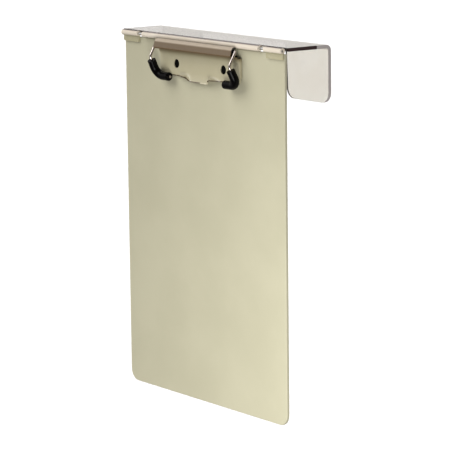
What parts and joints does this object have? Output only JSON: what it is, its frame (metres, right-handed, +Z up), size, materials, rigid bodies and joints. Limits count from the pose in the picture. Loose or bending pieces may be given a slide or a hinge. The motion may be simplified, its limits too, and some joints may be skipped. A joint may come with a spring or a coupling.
{
  "type": "hanging clipboard",
  "caption": "Clipboard that hangs from a clear over-the-edge hanger: hinged beige writing board with a sprung wire clip and black grip sleeves.",
  "frame": {"origin": "centre of the underside of the hanger's top plate, the face that rests on the panel it hangs from", "axes": "+X to the right seen from the front, +Y from the writing board towards the hanger's legs, +Z up"},
  "size_m": [0.236, 0.0613, 0.3175],
  "materials": {
    "clear_plastic": "clear polished acrylic",
    "board_plastic": "fine satin texture",
    "jaw_paint": "satin beige enamel",
    "clip_steel": "plated",
    "pin_steel": "bright",
    "wire_chrome": "polished",
    "sleeve_vinyl": "glossy",
    "black_rivet": "black lacquer",
    "washer_metal": "bright"
  },
  "bodies": {
    "hanger": {"hanger_bracket": "clear_plastic", "hanger_barrel_left": "clear_plastic", "hanger_barrel_centre": "clear_plastic", "hanger_barrel_right": "clear_plastic", "hinge_pin": "pin_steel"},
    "clipboard": {"board_panel": "board_plastic", "board_hinge_left": "clear_plastic", "board_hinge_right": "clear_plastic", "clip_base": "clip_steel", "clip_rivet_left": "black_rivet", "clip_rivet_right": "black_rivet", "rivet_washer_left": "washer_metal", "rivet_washer_right": "washer_metal"},
    "clip_jaw": {"jaw_plate": "jaw_paint", "spring_wire": "wire_chrome", "grip_sleeve_left": "sleeve_vinyl", "grip_sleeve_right": "sleeve_vinyl"}
  },
  "joints": [
    {"name": "board_swing", "type": "hinge", "parent": "hanger", "child": "clipboard", "pos_m": [0, -0.0233, 0.0004], "axis": [-1, 0, 0], "range_deg": [-20, 150]},
    {"name": "clip_open", "type": "hinge", "parent": "clipboard", "child": "clip_jaw", "pos_m": [0, -0.0282, -0.0038], "axis": [-1, 0, 0], "range_deg": [0, 60], "stiffness_Nm_per_rad": 0.25, "springref_deg": -20.05}
  ]
}
